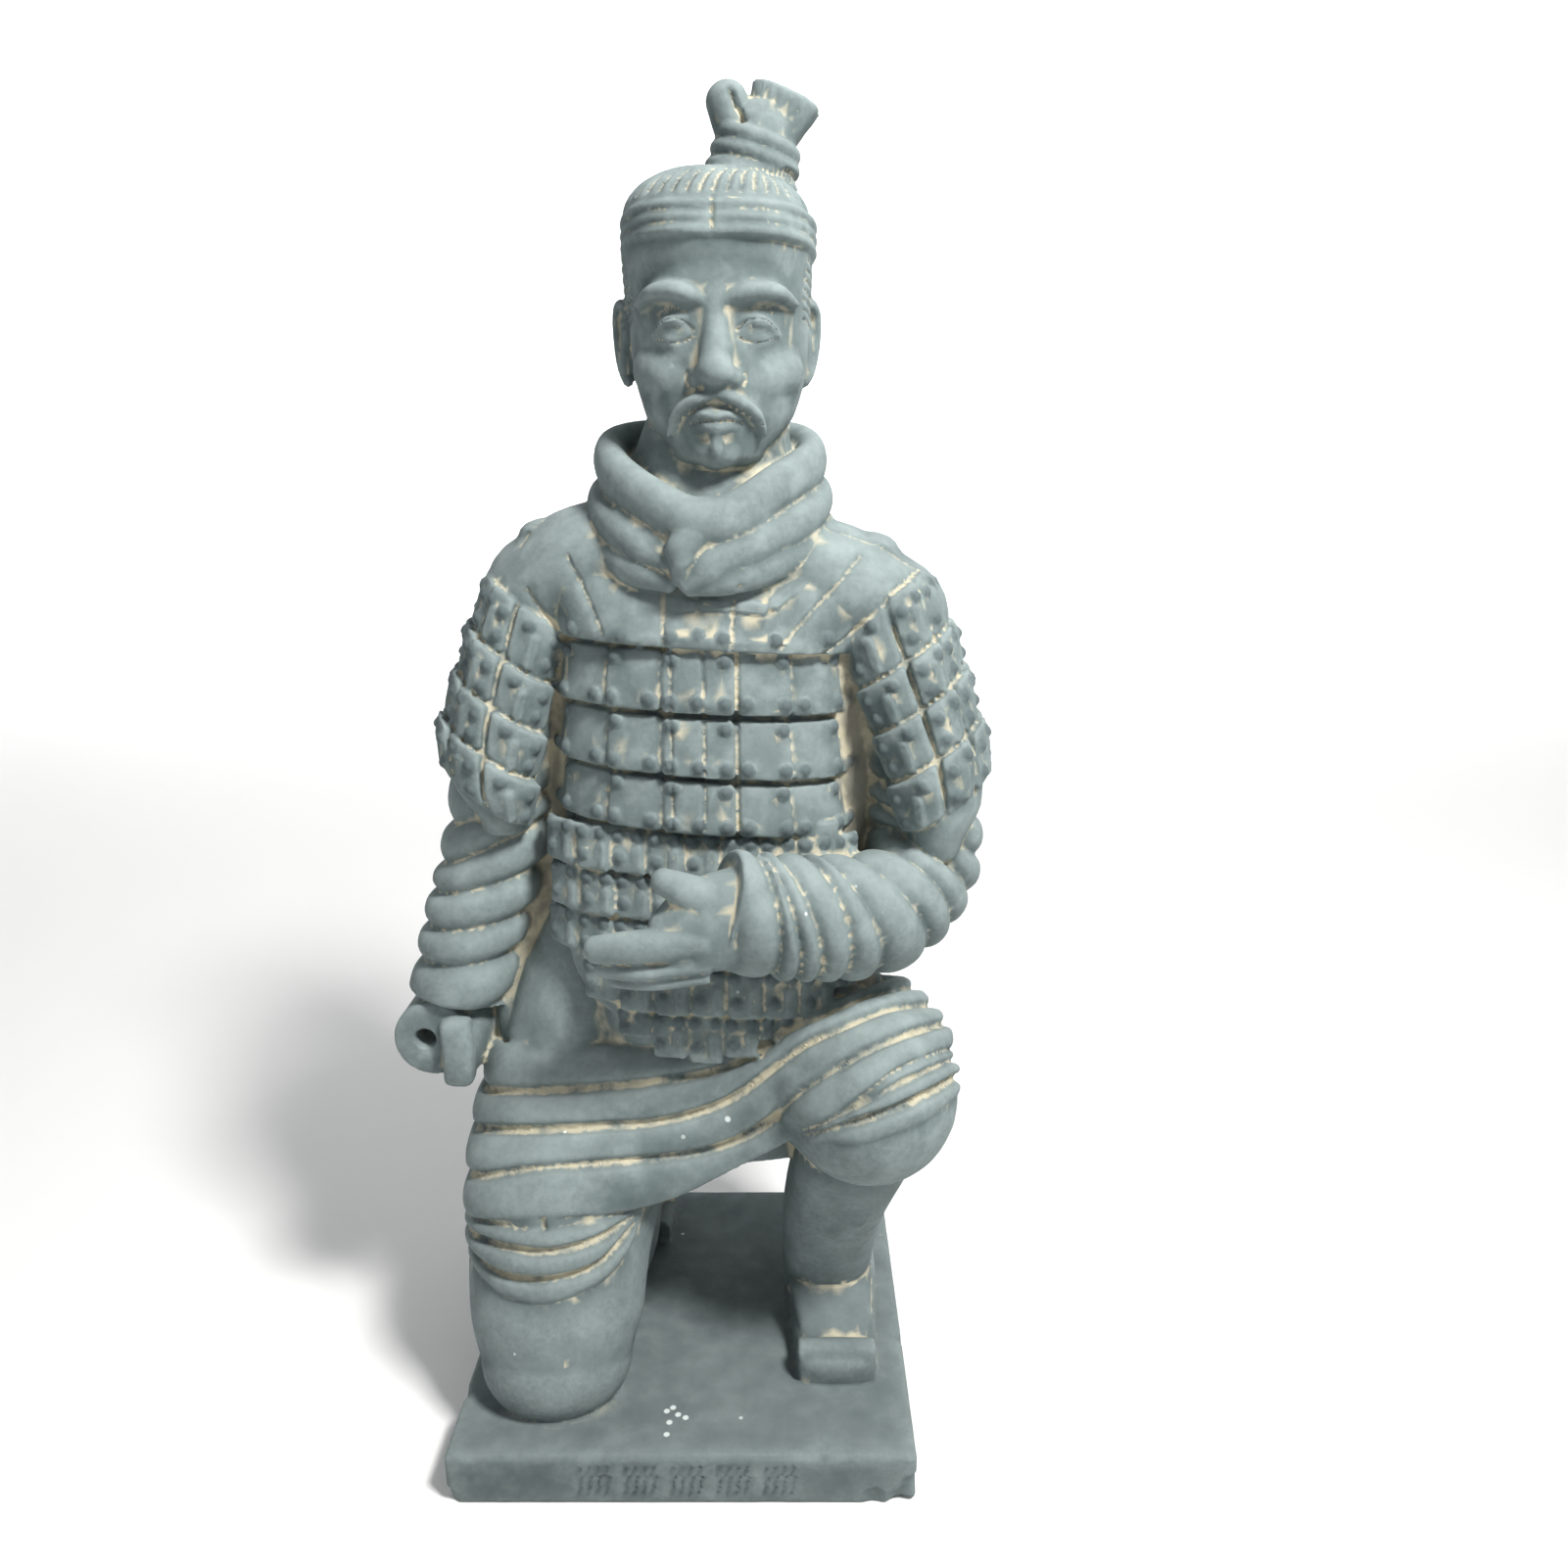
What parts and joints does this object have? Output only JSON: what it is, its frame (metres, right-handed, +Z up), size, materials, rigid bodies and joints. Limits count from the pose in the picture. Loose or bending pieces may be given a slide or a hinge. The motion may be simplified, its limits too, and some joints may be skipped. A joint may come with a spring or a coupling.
{
  "type": "kneeling terracotta warrior statue",
  "caption": "Clay statue of an armoured warrior kneeling on one knee on a rectangular plinth, with a side topknot, a scarf and one fist pierced to hold a grip.",
  "frame": {"origin": "centre of the plinth's underside", "axes": "+Z up, the figure faces -Y, +X towards the figure's left"},
  "size_m": [0.0922, 0.066, 0.2],
  "materials": {
    "grey_clay": "matt fired clay with a dusty grey-green wash and beige residue in the recesses"
  },
  "bodies": {
    "root": {"kneeling_warrior": "grey_clay"}
  },
  "joints": []
}
